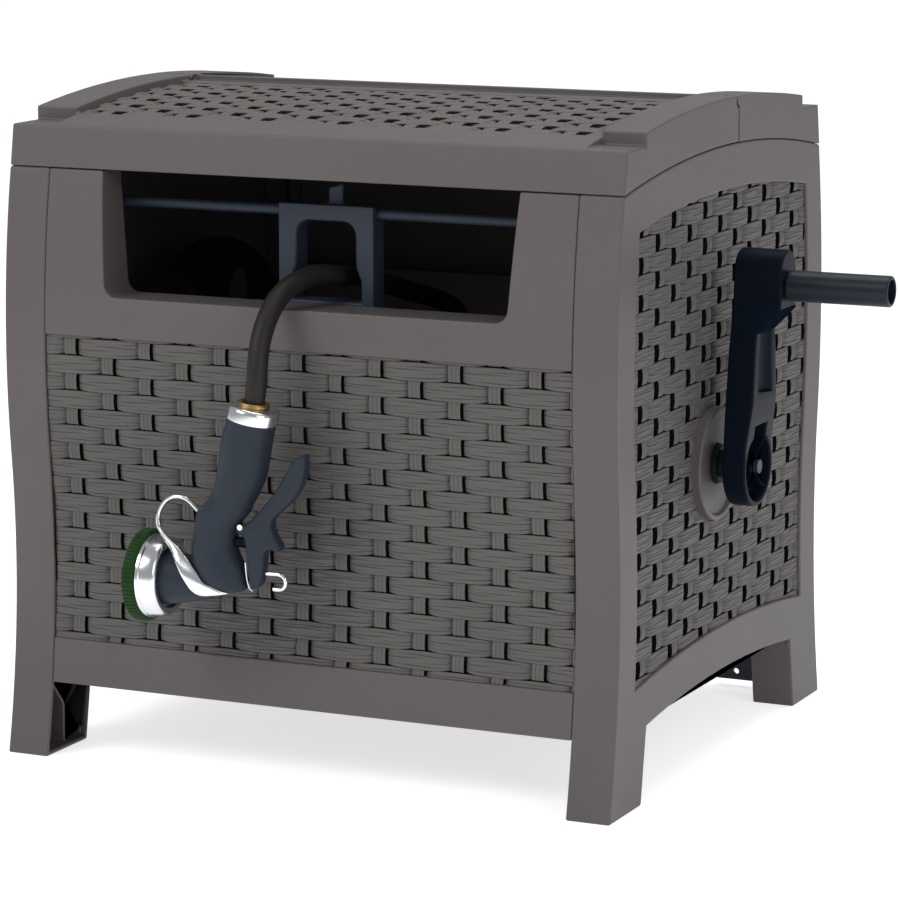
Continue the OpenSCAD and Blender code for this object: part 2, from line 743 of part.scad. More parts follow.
// swivel inlet: elbow over the end of the tube, with a spigot that points down
module inlet_elbow() color("#b08a3c") placed() difference() {
  union() {
    bar(elbow_x0, elbow_x1, reel_y, reel_z, shaft_r + 6);
    translate([spigot_x, reel_y, reel_z - 40]) cylinder(r = spigot_r + 1.2, h = 40);
    translate([spigot_x, reel_y, reel_z - 54]) cylinder(r = spigot_r, h = 20);
  }
  bar(elbow_stop, elbow_x1 + over, reel_y, reel_z, shaft_r + run);
  bar(elbow_x0 + 5, elbow_stop + over, reel_y, reel_z, bore_r);
  translate([spigot_x, reel_y, reel_z - 60]) cylinder(r = spigot_bore, h = 44);
}
module inlet_seal() color("#1d1d1f") placed() translate([spigot_x, reel_y, reel_z - 50]) difference() {
  cylinder(r = spigot_bore, h = 3);
  translate([0, 0, -over]) cylinder(r = spigot_bore - 3, h = 3 + 2 * over);
}

// reversing screw: two crossing helical grooves
groove_x = flange_x - 10;
screw_end = field_x - 6;
screw_cols = 12;
screw_rows = round(12 * 2 * groove_x / lead);
function groove(phase) = let (d = abs((phase % 1 + 1.5) % 1 - 0.5)) d < 0.1 ? 2.4 : d < 0.17 ? 1.2 : 0;
function screw_radius(x, a) = screw_r - max(groove(x / lead - a / 360), groove(x / lead + a / 360));
module reversing_screw() color("#9aa0a4") placed() {
  xs = [for (i = [0:screw_rows]) -groove_x + 2 * groove_x * i / screw_rows];
  pts = [for (x = xs) for (k = [0:screw_cols - 1])
    let (a = 360 * k / screw_cols, r = screw_radius(x, a - 90))
    [x, guide_y + r * cos(a), screw_z + r * sin(a)]];
  polyhedron(points = pts, faces = ring_faces(screw_rows + 1, screw_cols), convexity = 10);
  both() bar(groove_x, screw_end, guide_y, screw_z, journal_r);
}

// hose guide: frame on the rod, with a block that rides the screw
guide_low = screw_z + screw_r + 6;
pane_half = guide_half - 17;
pane_top = rod_z - 7;
pane_r = 12;
module guide_pane() {
  translate([-pane_half, sill_z + 10]) square([2 * pane_half, pane_top - pane_r - sill_z - 10]);
  translate([pane_r - pane_half, sill_z + 10]) square([2 * (pane_half - pane_r), pane_top - sill_z - 10]);
  both() translate([pane_half - pane_r, pane_top - pane_r]) circle(pane_r);
  polygon([
    [-pane_half, rod_z - 45], [pane_half, rod_z - 45], [pane_half + 5, sill_z + 20],
    [pane_half + 5, sill_z + 2], [-pane_half - 5, sill_z + 2], [-pane_half - 5, sill_z + 20]
  ]);
}
module guide_carriage() color("#3c4654") placed() {
  difference() {
    union() {
      translate([-guide_half, guide_y - guide_t / 2, guide_low])
        cube([2 * guide_half, guide_t, rod_z + 7 - guide_low]);
      translate([-30, guide_y - guide_t / 2, screw_z - screw_r - 5]) cube([60, guide_t, 2 * screw_r + 14]);
    }
    xz(guide_y - guide_t / 2 - over, guide_y + guide_t / 2 + over) guide_pane();
    bar(-guide_half - over, guide_half + over, guide_y, rod_z, rod_r + run);
    bar(-guide_half - over, guide_half + over, guide_y, screw_z, screw_r + 0.4);
    translate([0, guide_y, screw_z]) cylinder(r = 4, h = screw_r + 8);
  }
  // tab above the frame
  xz(guide_y - 3, guide_y + 3)
    polygon([[-2, rod_z + 6], [12, rod_z + 6], [12, rod_z + 26], [-2, rod_z + 22]]);
}
module guide_follower() color("#b08a3c") placed() translate([0, guide_y, screw_z]) {
  translate([0, 0, screw_r + 0.5]) cylinder(r = 4, h = 7);
  translate([0, 0, screw_r - 1]) cylinder(r = 1.5, h = 3);
}

// free end of the hose: over the winding, through the guide and down the front
hose_route = [
  [7, 100, 251], [7, 102, 283], [7, 96, 313], [7, 83, 341], [7, 64, 364], [7, 39, 381], [7, 8, 392],
  [7, -40, 404], [7, -90, 417], [7, -140, 429], [7, -165, 434], [7, -185, 436.5], [4, -200.5, 439],
  [-1.5, -215.5, 440.5], [-7, -231, 438.5], [-12, -246.5, 433.5], [-15, -261.5, 425.5], [-16.5, -275, 414],
  [-17, -285.5, 401.5], [-17, -292.5, 389], [-16.5, -297.5, 374], [-16.5, -300, 356], [-19.5, -300, 338]
];
module hose_free() color("#24221f") placed()
  tube(hose_route, [for (q = hose_route) [1, 0, 0]], hose_d / 2, 10);

// nozzle parts are drawn about the axis of the spray head
module nozzle() placed() translate([0, noz_y, head_z]) children();
// at a distance down the grip from the end of the hose
module on_grip(d) nozzle() translate([hose_end[0] - d * tan(tilt), 0, hose_end[1] - d])
  rotate([0, tilt, 0]) children();
module on_pivot() translate([pivot[0], 0, pivot[1]]) rotate([90, 0, 0]) children();
module round_head(outline) rotate([0, 90, 0]) rotate_extrude() polygon(outline);
ring_h = 3.5;
ring_low = 1.5;
collar_h = 13.8;
collar_low = ring_low + seat + collar_h;
module hose_coupling() color("#b08a3c") on_grip(ring_low) difference() {
  cylinder(r = hose_d / 2 + 5, h = ring_h);
  translate([0, 0, -over]) cylinder(r = hose_d / 2 + 0.1, h = ring_h + 2 * over);
}
module nozzle_collar() color("#c9ccd0") on_grip(collar_low) rotate_extrude()
  polygon([[0, 0], [23.2, 0], [23.2, 8], [20.5, collar_h], [0, collar_h]]);
grip_r = 22.4;
module grip_slice(d, r) on_grip(d) cylinder(r = r, h = 1, $fn = 32);
module body_ball(x, z, r) nozzle() translate([x, 0, z]) sphere(r = r, $fn = 32);
module nozzle_body() color("#303842") difference() {
  union() {
    hull() {
      grip_slice(collar_low + seat + 1, grip_r);
      grip_slice(74, grip_r - 0.6);
    }
    hull() {
      grip_slice(74, grip_r - 0.6);
      body_ball(-57, 45, barrel_r);
    }
    hull() {
      body_ball(-57, 45, barrel_r);
      body_ball(-59, 13, barrel_r);
    }
    hull() {
      body_ball(-59, 13, barrel_r);
      body_ball(-38, 4, 12);
      nozzle() translate([-100, 0, 0]) rotate([0, 90, 0]) cylinder(r = barrel_r, h = 40, $fn = 32);
    }
    nozzle() round_head([
      [0, -110], [22.8, -110], [22.8, -106], [barrel_r, -100.5], [barrel_r, -70], [0, -70]
    ]);
  }
  // slot of the trigger and hole of its pin
  nozzle() xz(-trigger_half - gap, trigger_half + gap) {
    polygon([
      [-33, 42], [-30.5, 21], [-29, 4], [-26, -8], [-26, -30], [40, -30], [40, 126], [2, 126], [-2, 112],
      [-8.5, 92], [-19, 72], [-29, 60], [-36, 55], [-39, 48]
    ]);
    translate(pivot) circle(8);
  }
  nozzle() on_pivot() cylinder(r = trigger_pin_r, h = 100, center = true);
}
// bright loop from the back of the grip, round to the near side of the barrel
trim_r = 2;
trim_route = [
  [-74, -3, 63], [-80, -3.4, 67.5], [-87, -3.8, 70.5], [-94.5, -4.4, 71.5], [-102, -5.2, 68.5],
  [-108, -6, 62.5], [-111.3, -7, 55], [-111, -8, 47], [-107.5, -10, 39.5], [-102.5, -12.5, 32.5],
  [-98, -16.5, 24.5], [-94.5, -20.5, 16.5], [-90.5, -23.8, 8.5], [-85.5, -24.2, 1.5],
  [-79, -23.8, -4], [-71.5, -22.8, -8], [-63, -21.6, -10.5]
];
module nozzle_trim() color("#c9ccd0") nozzle()
  tube(trim_route, [for (q = trim_route) [0, 0.6, 0.8]], trim_r, 8);
module nozzle_head() color("#c9ccd0") nozzle()
  round_head([[0, -138], [34, -138], [34.6, -136], [33.8, -124], [30.5, -116], [25, -110.2], [0, -110.2]]);
module nozzle_face() color("#1d2228") nozzle() difference() {
  yz(-147, -138.2) circle(30);
  for (a = [0:45:315]) yz(-148, -143) rotate(a) translate([20, 0]) circle(3);
}
ring_r = 39.4;
module pattern_ring() color("#1e4119") nozzle() yz(-151, -138.5) difference() {
  circle(ring_r);
  circle(30.4);
  for (a = [0:15:345]) rotate(a) translate([ring_r + 0.5, 0]) circle(1.8);
}
module nozzle_trigger() color("#303842") nozzle() difference() {
  xz(-trigger_half, trigger_half) polygon([
    [29.5, 117.5], [31.5, 115], [32, 106], [28.4, 90], [19.3, 76], [6.6, 65], [-1.6, 56], [1, 46.5],
    [8, 35.6], [6.3, 30.5], [-7.3, 32], [-8.4, 16], [-11.2, 1], [-23.2, -5], [-26.7, 4.4],
    [-28.4, 21], [-30.9, 42], [-36, 44], [-37.5, 48], [-34, 53], [-26.2, 52.4],
    [-11.5, 66.8], [3.2, 84.4], [14.1, 103.3], [20.5, 112.7]
  ]);
  on_pivot() cylinder(r = trigger_pin_r + run, h = 100, center = true);
}
module trigger_pin() color("#c9ccd0") nozzle() on_pivot() cylinder(r = trigger_pin_r, h = 38, center = true);
// wire clip that hooks out of the foot of the trigger
wire = 3.5;
clip_r = 6.5;
module trigger_clip() color("#c9ccd0") nozzle() xz(-wire / 2, wire / 2) translate([3, 4.5]) {
  translate([-11.5, clip_r - wire / 2]) square([11.5, wire]);
  intersection() {
    difference() {
      circle(clip_r + wire / 2);
      circle(clip_r - wire / 2);
    }
    translate([0, -20]) square(40);
  }
  translate([-5, -clip_r - wire / 2]) square([5, wire]);
}

left_end_panel();
right_end_panel();
front_panel();
back_panel();
left_weave();
right_weave();
front_weave();
back_weave();
rear_top();
rear_top_weave();
lid();
lid_weave();
hinge_pins();
anchor_tabs();
crank_side_bearing();
inlet_side_bearing();
guide_rod();
idler_stud();
reel_drum();
left_flange();
right_flange();
reel_gear();
hose_core();
hose_winding();
drive_shaft();
inlet_tube();
crank_arm();
crank_screw();
grip_spindle();
crank_grip();
inlet_elbow();
inlet_seal();
reversing_screw();
screw_gear();
idler_gear();
guide_carriage();
guide_follower();
hose_free();
hose_coupling();
nozzle_collar();
nozzle_body();
nozzle_trim();
nozzle_head();
nozzle_face();
pattern_ring();
nozzle_trigger();
trigger_pin();
trigger_clip();
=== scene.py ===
"""Looks of the hose reel box: materials, hose, nozzle, woven skins, floor, camera and light."""
import math

import bmesh
import bpy
import numpy as np
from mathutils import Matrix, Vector


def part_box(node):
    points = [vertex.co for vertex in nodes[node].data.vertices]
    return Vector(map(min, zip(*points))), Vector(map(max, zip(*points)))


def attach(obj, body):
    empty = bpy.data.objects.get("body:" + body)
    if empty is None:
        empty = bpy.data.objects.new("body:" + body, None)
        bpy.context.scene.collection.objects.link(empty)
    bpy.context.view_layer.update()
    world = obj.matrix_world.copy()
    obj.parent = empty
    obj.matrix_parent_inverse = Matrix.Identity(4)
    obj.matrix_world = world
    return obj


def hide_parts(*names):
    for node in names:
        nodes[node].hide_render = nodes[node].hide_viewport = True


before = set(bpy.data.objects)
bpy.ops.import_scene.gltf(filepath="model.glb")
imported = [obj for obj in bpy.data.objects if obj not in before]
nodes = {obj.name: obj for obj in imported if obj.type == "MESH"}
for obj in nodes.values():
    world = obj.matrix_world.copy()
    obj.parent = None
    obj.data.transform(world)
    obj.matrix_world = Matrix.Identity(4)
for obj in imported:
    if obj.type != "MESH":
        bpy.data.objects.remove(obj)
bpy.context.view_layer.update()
MM = 0.001

# cabinet middle and the sizes that the looks share with the solids, in millimetres
front_low, front_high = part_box("front_panel")
CAB_X = (front_low[0] + front_high[0]) / 2 / MM
POST_X = 250
OUTER_X = 290
POST_W = 40
FIELD_Z = (106, 379)
BELLY = dict(half=252, z=365, r=900)
WAIST = dict(half=242, r=850)
LID_EDGE = dict(z=544.5, r=1350)
CROWN_RISE = 35
LID_FIELD_SINK = 6.5
LID_FIELD_R = LID_EDGE["r"] + CROWN_RISE - LID_FIELD_SINK
ARC_Z = LID_EDGE["z"] - LID_EDGE["r"]
ARCH = dict(z=77.5, r=1475)
REEL = dict(y=-25, z=268)
NOZ_Y = -300
HEAD_Z = 185


def row_frame(points):
    """Points in millimetres about the cabinet's middle, as metres in the shared frame."""
    p = np.asarray(points, float) + np.array([CAB_X, 0, 0])
    return p * MM


def link(obj):
    bpy.context.scene.collection.objects.link(obj)
    return obj


def srgb(r, g, b):
    """Linear colour of an 8-bit sRGB one."""
    c = np.array([r, g, b]) / 255
    lin = np.where(c <= 0.04045, c / 12.92, ((c + 0.055) / 1.055) ** 2.4)
    return (*[float(x) for x in lin], 1.0)


# materials
GRAIN_DEPTH = 0.4 * MM
GRAIN_DETAIL = 3
MOTTLE_SCALE, MOTTLE_DETAIL = 9, 4
MOTTLE_FROM, MOTTLE_TO = 0.3, 0.7
LEAST_ROUGH = 0.02


def new_material(name):
    """New material, with its node tree and its shader."""
    mat = bpy.data.materials.new(name)
    mat.use_nodes = True
    return mat, mat.node_tree, mat.node_tree.nodes["Principled BSDF"]


def object_noise(tree, scale, detail=2):
    """Noise over the object's own coordinates."""
    coord = tree.nodes.new("ShaderNodeTexCoord")
    noise = tree.nodes.new("ShaderNodeTexNoise")
    noise.inputs["Scale"].default_value = scale
    noise.inputs["Detail"].default_value = detail
    tree.links.new(coord.outputs["Object"], noise.inputs["Vector"])
    return noise.outputs["Fac"]


def plastic(name, colour, rough, grain=0.25, scale=900, mottle=0.05, shine=0.5):
    """Moulded plastic: a fine moulded grain and a faint mottle of its colour."""
    mat, tree, bsdf = new_material(name)
    bsdf.inputs["Roughness"].default_value = rough
    bsdf.inputs["Specular IOR Level"].default_value = shine
    bump = tree.nodes.new("ShaderNodeBump")
    bump.inputs["Strength"].default_value = grain
    bump.inputs["Distance"].default_value = GRAIN_DEPTH
    tree.links.new(object_noise(tree, scale, GRAIN_DETAIL), bump.inputs["Height"])
    tree.links.new(bump.outputs["Normal"], bsdf.inputs["Normal"])
    ramp = tree.nodes.new("ShaderNodeValToRGB")
    dark, light = ramp.color_ramp.elements
    base = np.array(colour[:3])
    dark.position = MOTTLE_FROM
    light.position = MOTTLE_TO
    dark.color = (*(base * (1 - mottle)), 1)
    light.color = (*np.minimum(base * (1 + mottle), 1), 1)
    tree.links.new(object_noise(tree, MOTTLE_SCALE, MOTTLE_DETAIL), ramp.inputs["Fac"])
    tree.links.new(ramp.outputs["Color"], bsdf.inputs["Base Color"])
    return mat


def metal(name, colour, rough, scale=60, change=0.05):
    """Metal whose gloss varies a little over the surface."""
    mat, tree, bsdf = new_material(name)
    bsdf.inputs["Metallic"].default_value = 1.0
    bsdf.inputs["Base Color"].default_value = colour
    spread = tree.nodes.new("ShaderNodeMapRange")
    spread.inputs["To Min"].default_value = max(rough - change, LEAST_ROUGH)
    spread.inputs["To Max"].default_value = rough + change
    tree.links.new(object_noise(tree, scale), spread.inputs["Value"])
    tree.links.new(spread.outputs["Result"], bsdf.inputs["Roughness"])
    return mat


FRAME_MAT = plastic("frame_plastic", srgb(101, 95, 94), 0.5)
WICKER_MAT = plastic("wicker_plastic", srgb(99, 97, 94), 0.6, grain=0.2, mottle=0.06)
# painted shade: near-black colour laid on the floors and steep walls of the wicker's gaps, where shadow
# falls
PAINTED_SHADE_MAT = plastic("wicker_painted_shade", srgb(18, 18, 17), 0.9, shine=0.1)
# painted light: lighter copies of the wicker and of its painted shade for the top, as the top is lit from
# above
TOP_WICKER_PAINTED_LIGHT_MAT = plastic("top_wicker_plastic_painted_light", srgb(103, 99, 97), 0.6, grain=0.2, mottle=0.06)
TOP_PAINTED_SHADE_MAT = plastic("top_wicker_painted_shade", srgb(46, 43, 42), 0.9, shine=0.1)
REEL_MAT = plastic("reel_plastic", srgb(30, 33, 38), 0.5, shine=0.2)
CRANK_MAT = plastic("crank_plastic", srgb(17, 25, 37), 0.4, grain=0.15, shine=0.05)
SHOULDER_MAT = plastic("shoulder_plastic", srgb(20, 29, 41), 0.8, grain=0.15, shine=0.0)
# painted light: a lighter copy of the crank's plastic, standing for the highlight along the grip's top
GRIP_PAINTED_SHEEN_MAT = plastic("grip_plastic_painted_sheen", srgb(25, 33, 44), 0.4, grain=0.15, shine=0.3)
GUIDE_MAT = plastic("guide_plastic", srgb(50, 58, 72), 0.45, shine=0.3)
NOZZLE_MAT = plastic("nozzle_plastic", srgb(46, 54, 66), 0.5, grain=0.3, scale=1400, shine=0.25)
GEAR_MAT = plastic("gear_plastic", srgb(205, 200, 188), 0.5)
GREEN_MAT = plastic("dial_plastic", srgb(34, 70, 30), 0.5, shine=0.2)
HOSE_MAT = plastic("hose_rubber", srgb(36, 34, 31), 0.5, grain=0.4, scale=700, shine=0.3)
SEAL_MAT = plastic("seal_rubber", srgb(26, 26, 28), 0.7, shine=0.2)
STEEL_MAT = metal("steel", srgb(170, 172, 176), 0.32)
CHROME_MAT = metal("chrome", srgb(226, 228, 231), 0.2, change=0.03)
BRASS_MAT = metal("brass", srgb(178, 146, 90), 0.36)

LOOKS = {
    FRAME_MAT: "left_end_panel right_end_panel front_panel back_panel rear_top lid",
    WICKER_MAT: "left_weave right_weave front_weave back_weave rear_top_weave lid_weave",
    REEL_MAT: "reel_drum left_flange right_flange drive_shaft reversing_screw"
              " crank_side_bearing inlet_side_bearing",
    CRANK_MAT: "crank_arm nozzle_face",
    GRIP_PAINTED_SHEEN_MAT: "crank_grip",
    GUIDE_MAT: "guide_carriage guide_rod anchor_tabs crank_screw",
    GEAR_MAT: "reel_gear idler_gear screw_gear",
    HOSE_MAT: "hose_core hose_winding hose_free",
    SEAL_MAT: "inlet_seal",
    STEEL_MAT: "hinge_pins idler_stud grip_spindle",
    BRASS_MAT: "inlet_tube inlet_elbow guide_follower hose_coupling",
    CHROME_MAT: "nozzle_collar nozzle_trim nozzle_head trigger_pin trigger_clip",
    NOZZLE_MAT: "nozzle_body nozzle_trigger",
    GREEN_MAT: "pattern_ring",
}
for material, names in LOOKS.items():
    for name in names.split():
        obj = nodes[name]
        obj.data.materials.clear()
        obj.data.materials.append(material)


# shared ways of making pieces
def piece(obj, body, slot, *replaced):
    """Puts a new piece on its body and hides the solids that it stands for; slot is not used."""
    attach(obj, body)
    if replaced:
        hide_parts(*replaced)
    return obj


def mesh_object(name, points, faces, *materials, crease=40):
    """Mesh of points in cabinet millimetres, smooth but for edges that turn by more than crease degrees."""
    mesh = bpy.data.meshes.new(name)
    mesh.from_pydata([tuple(v) for v in row_frame(points)], [], faces)
    mesh.update()
    mesh.polygons.foreach_set("use_smooth", [True] * len(mesh.polygons))
    mesh.set_sharp_from_angle(angle=math.radians(crease))
    for material in materials:
        mesh.materials.append(material)
    return link(bpy.data.objects.new(name, mesh))


TUBE_ROUNDNESS = 5


def tube(name, points, diameter, material, resolution=4):
    """Round tube along a smooth curve through the points, in cabinet millimetres."""
    curve = bpy.data.curves.new(name, "CURVE")
    curve.dimensions = "3D"
    curve.bevel_depth = diameter / 2 * MM
    curve.bevel_resolution = TUBE_ROUNDNESS
    curve.resolution_u = resolution
    curve.use_fill_caps = True
    spline = curve.splines.new("BEZIER")
    spline.bezier_points.add(len(points) - 1)
    for knot, p in zip(spline.bezier_points, row_frame(points)):
        knot.co = p
        knot.handle_left_type = knot.handle_right_type = "AUTO"
    curve.materials.append(material)
    return link(bpy.data.objects.new(name, curve))


def smooth_path(points, per):
    """Points on a curve through the given ones, per to a span; columns past the third go along."""
    p = np.asarray(points, float)
    p = np.vstack([2 * p[0] - p[1], p, 2 * p[-1] - p[-2]])
    out = []
    for a, b, c, d in zip(p[:-3], p[1:-2], p[2:-1], p[3:]):
        square = 2 * a - 5 * b + 4 * c - d
        cube = 3 * b - a - 3 * c + d
        for t in np.arange(per) / per:
            out.append(0.5 * (2 * b + (c - a) * t + square * t**2 + cube * t**3))
    return np.vstack([out, p[-2]])


def ring_faces(rings):
    """Faces between rings of equally many points."""
    m, n = len(rings), len(rings[0])
    return [
        (i * n + k, i * n + (k + 1) % n, (i + 1) * n + (k + 1) % n, (i + 1) * n + k)
        for i in range(m - 1) for k in range(n)
    ]


def skin(rings):
    """Points and faces of a closed skin through rings of equally many points."""
    m, n = len(rings), len(rings[0])
    caps = [tuple(range(n))[::-1], tuple(range((m - 1) * n, m * n))]
    return np.vstack(rings), ring_faces(rings) + caps


def loft(name, rings, *materials):
    return mesh_object(name, *skin(rings), *materials)


# hose: the free end, from the winding through the guide to the nozzle
HOSE_D = 18
HOSE_ROUTE = [
    (7, 100, 251), (7, 102, 283), (7, 96, 313), (7, 83, 341), (7, 64, 364), (7, 39, 381), (7, 8, 392),
    (7, -40, 404), (7, -90, 417), (7, -140, 429), (7, -165, 434), (7, -185, 436.5), (4, -200.5, 439),
    (-1.5, -215.5, 440.5), (-7, -231, 438.5), (-12, -246.5, 433.5), (-15, -261.5, 425.5), (-16.5, -275, 414),
    (-17, -285.5, 401.5), (-17, -292.5, 389), (-16.5, -297.5, 374), (-16.5, -300, 356), (-19.5, -300, 338),
]


hose = piece(tube("free_hose", HOSE_ROUTE, HOSE_D, HOSE_MAT, resolution=8), "guide", "hose", "hose_free")


# nozzle, in millimetres about the axis of its head
def at_nozzle(points):
    return np.asarray(points, float) + np.array([0, NOZ_Y, HEAD_Z])


# sections of the grip and its collar: height, middle, half width, half depth and tilt
BODY_SECTIONS = [
    (141.4, -21.2, 21.0, 21.0, 11.5), (123, -26.0, 22.0, 21.4, 8.5), (108, -28.6, 21.9, 21.2, 8.5),
    (93, -31.6, 21.2, 20.8, 8.0), (78, -37.2, 19.8, 20.2, 5.5), (69, -42.6, 20.4, 20.0, 3.0),
    (62, -48.0, 23.2, 20.0, 1.0), (55, -52.2, 21.4, 20.0, 0), (46, -55.4, 19.2, 20.0, 0),
    (30, -57.4, 19.8, 20.0, 0), (15, -54.6, 24.0, 20.0, 0), (4, -53.3, 26.0, 19.8, 0),
    (-2, -52.5, 25.4, 18.0, 0), (-6, -51.0, 20.6, 13.0, 0), (-8.6, -52.0, 9.0, 4.0, 0),
]
BODY_STEPS = 4
COLLAR_SECTIONS = [
    (141.6, -21.2, 20.0, 20.0, 12), (141.8, -21.1, 22.3, 22.2, 12), (149.9, -19.2, 22.3, 22.2, 12),
    (152.0, -18.8, 21.7, 21.6, 12), (153.4, -18.4, 20.0, 19.9, 12), (153.8, -18.2, 17.5, 17.4, 12),
]
BODY_SIDES = 48
ROUND = np.linspace(0, 2 * np.pi, BODY_SIDES, endpoint=False)


def body_ring(z, x, half, depth, tilt):
    s = half * np.cos(ROUND)
    lean = math.radians(tilt)
    return at_nozzle(np.stack([x + s * math.cos(lean), depth * np.sin(ROUND), z - s * math.sin(lean)], -1))


def body_loft(name, sections, material):
    return loft(name, [body_ring(*s) for s in sections], material)


grip = body_loft("nozzle_grip", smooth_path(BODY_SECTIONS, BODY_STEPS), NOZZLE_MAT)
piece(grip, "guide", "nozzle", "nozzle_body")
collar = piece(
    body_loft("grip_collar", COLLAR_SECTIONS, CHROME_MAT), "guide", "chrome", "nozzle_collar",
)

# brass ring where the hose enters the collar
RING_R, RING_ROUND, RING_STEPS = 11.6, 2.4, 17
RING_Z, RING_X, RING_TILT = 155.2, -19.2, 8.5
ring_sections = []
for b in np.linspace(-np.pi, np.pi, RING_STEPS):
    radius = RING_R + RING_ROUND * np.cos(b)
    ring_sections.append((RING_Z + RING_ROUND * np.sin(b), RING_X, radius, radius, RING_TILT))
coupling = piece(
    body_loft("coupling_ring", ring_sections, BRASS_MAT), "guide", "brass", "hose_coupling",
)


def turned(profile, sides=64, y=0.0, z=0.0):
    """Rings of a profile of x and radius turned about a line along x."""
    a = np.linspace(0, 2 * np.pi, sides, endpoint=False)
    return [
        at_nozzle(np.stack([np.full(sides, x), y + r * np.cos(a), z + r * np.sin(a)], -1))
        for x, r in profile
    ]


# head: a bright cup round the barrel's mouth, and the dark face with its jets
BARREL = [
    (-106, 1), (-106, 24), (-100.5, 23.8), (-97, 23), (-92, 22), (-84, 20.6), (-76, 19), (-68, 17.3),
    (-60, 15), (-54, 10), (-52, 1),
]
HEAD = [
    (-117.2, 1), (-117.2, 35.6), (-116.2, 36.6), (-113.6, 36.6), (-112.8, 35.2), (-105, 34.4),
    (-101.5, 33.2), (-99.8, 31.4), (-99.2, 29), (-99.8, 27.4), (-104, 25.4), (-105.4, 1),
]
FACE = [
    (-117.3, 1), (-117.3, 29.8), (-124.2, 29.8), (-125.2, 28.8), (-124.2, 26.6), (-122.8, 24), (-122.8, 9),
    (-125.2, 7.4), (-125.6, 5.5), (-123.6, 4), (-123.6, 1),
]
JET = [(-122.4, 2.8), (-124.6, 2.6), (-124.9, 2.1), (-124.9, 1.3), (-123, 1.1)]
JET_SIDES = 12
# radius of each circle of jets, and how many are on it
JET_ROWS = ((20, 16), (13, 8))
piece(loft("nozzle_barrel", turned(BARREL), NOZZLE_MAT), "guide", "nozzle")
piece(loft("head_cup", turned(HEAD), CHROME_MAT), "guide", "chrome", "nozzle_head")
piece(loft("spray_face", turned(FACE), CRANK_MAT), "guide", "dark_plastic", "nozzle_face")
jet_points, jet_faces = [], []
for radius, count in JET_ROWS:
    for a in 2 * np.pi * np.arange(count) / count:
        points, faces = skin(turned(JET, JET_SIDES, radius * math.cos(a), radius * math.sin(a)))
        shift = sum(len(p) for p in jet_points)
        jet_points.append(points)
        jet_faces += [tuple(v + shift for v in f) for f in faces]
piece(mesh_object("spray_jets", np.vstack(jet_points), jet_faces, CRANK_MAT), "guide", "dark_plastic")

# bright loop that widens into a band round the near side of the barrel: x, y, z, width
TRIM = [
    (-72, -3, 60.5, 3.8), (-79, -3.4, 67.1, 3.8), (-85, -4, 70.6, 3.8), (-93.1, -4.4, 71.2, 3.8),
    (-100.8, -5, 67.8, 3.8), (-106, -6, 61.2, 3.8), (-108.4, -7, 53.2, 3.8), (-107.4, -8, 45.5, 4),
    (-102.9, -10, 39.6, 4.2), (-96, -12, 33.2, 5), (-87, -15, 25.9, 8), (-80.3, -18, 18.6, 11),
    (-72.2, -20.8, 8.5, 13), (-62.8, -21, -2.2, 13.4), (-51.2, -18, -5.2, 8), (-39.8, -12, -6.9, 0.8),
]
TRIM_STEPS = 5
LOOP_W, BAND_W = 4, 10
LOOP_HALF, BAND_HALF = 1.9, 1.4
BARREL_SQUASH = 0.9
TRIM_ROUND = ROUND[::3, None]
trim_path = smooth_path(TRIM, TRIM_STEPS)
trim_rings = []
for i, (x, y, z, w) in enumerate(trim_path):
    along = trim_path[min(i + 1, len(trim_path) - 1), :3] - trim_path[max(i - 1, 0), :3]
    along /= np.linalg.norm(along)
    flat = min(max((w - LOOP_W) / (BAND_W - LOOP_W), 0), 1)
    off_barrel = np.array([0, y, z * BARREL_SQUASH]) / math.hypot(y, z * BARREL_SQUASH)
    out = (1 - flat) * np.array([0, -1, 0]) + flat * off_barrel
    across = np.cross(along, out)
    across /= np.linalg.norm(across)
    out = np.cross(across, along)
    thick = min(LOOP_HALF - (LOOP_HALF - BAND_HALF) * flat, w / 2)
    ring = np.array([x, y, z]) + w / 2 * np.cos(TRIM_ROUND) * across + thick * np.sin(TRIM_ROUND) * out
    trim_rings.append(at_nozzle(ring))
piece(loft("nozzle_loop", trim_rings, CHROME_MAT), "guide", "chrome", "nozzle_trim")

# trigger: rounded plate on its outline in x and z
TRIGGER = [
    (29.5, 117.5), (31.5, 115), (32, 106), (28.4, 90), (19.3, 76), (6.6, 65), (-1.6, 56), (1, 46.5),
    (8, 35.6), (6.3, 30.5), (-7.3, 32), (-8.6, 16), (-11.2, 1), (-20.2, -5), (-23.4, 4.4),
    (-25, 21), (-28, 42), (-35, 43.5), (-37, 48), (-34, 53), (-26.2, 52.4),
    (-11.5, 66.8), (3.2, 84.4), (14.1, 103.3), (20.5, 112.7),
]
TRIGGER_THICK, TRIGGER_ROUND, TRIGGER_TRIM = 13, 2.6, 0.8
CORNER_CUT, CORNER_PASSES = 0.2, 2
PLATE_ROUNDNESS, PLATE_WELD, PLATE_CREASE = 3, 0.01, 50


def round_corners(outline):
    """Outline with each corner cut, and the new corners cut again."""
    p = np.asarray(outline, float)
    for _ in range(CORNER_PASSES):
        q = np.roll(p, -1, axis=0)
        after = (1 - CORNER_CUT) * p + CORNER_CUT * q
        before = CORNER_CUT * p + (1 - CORNER_CUT) * q
        p = np.stack([after, before], 1).reshape(-1, 2)
    return p


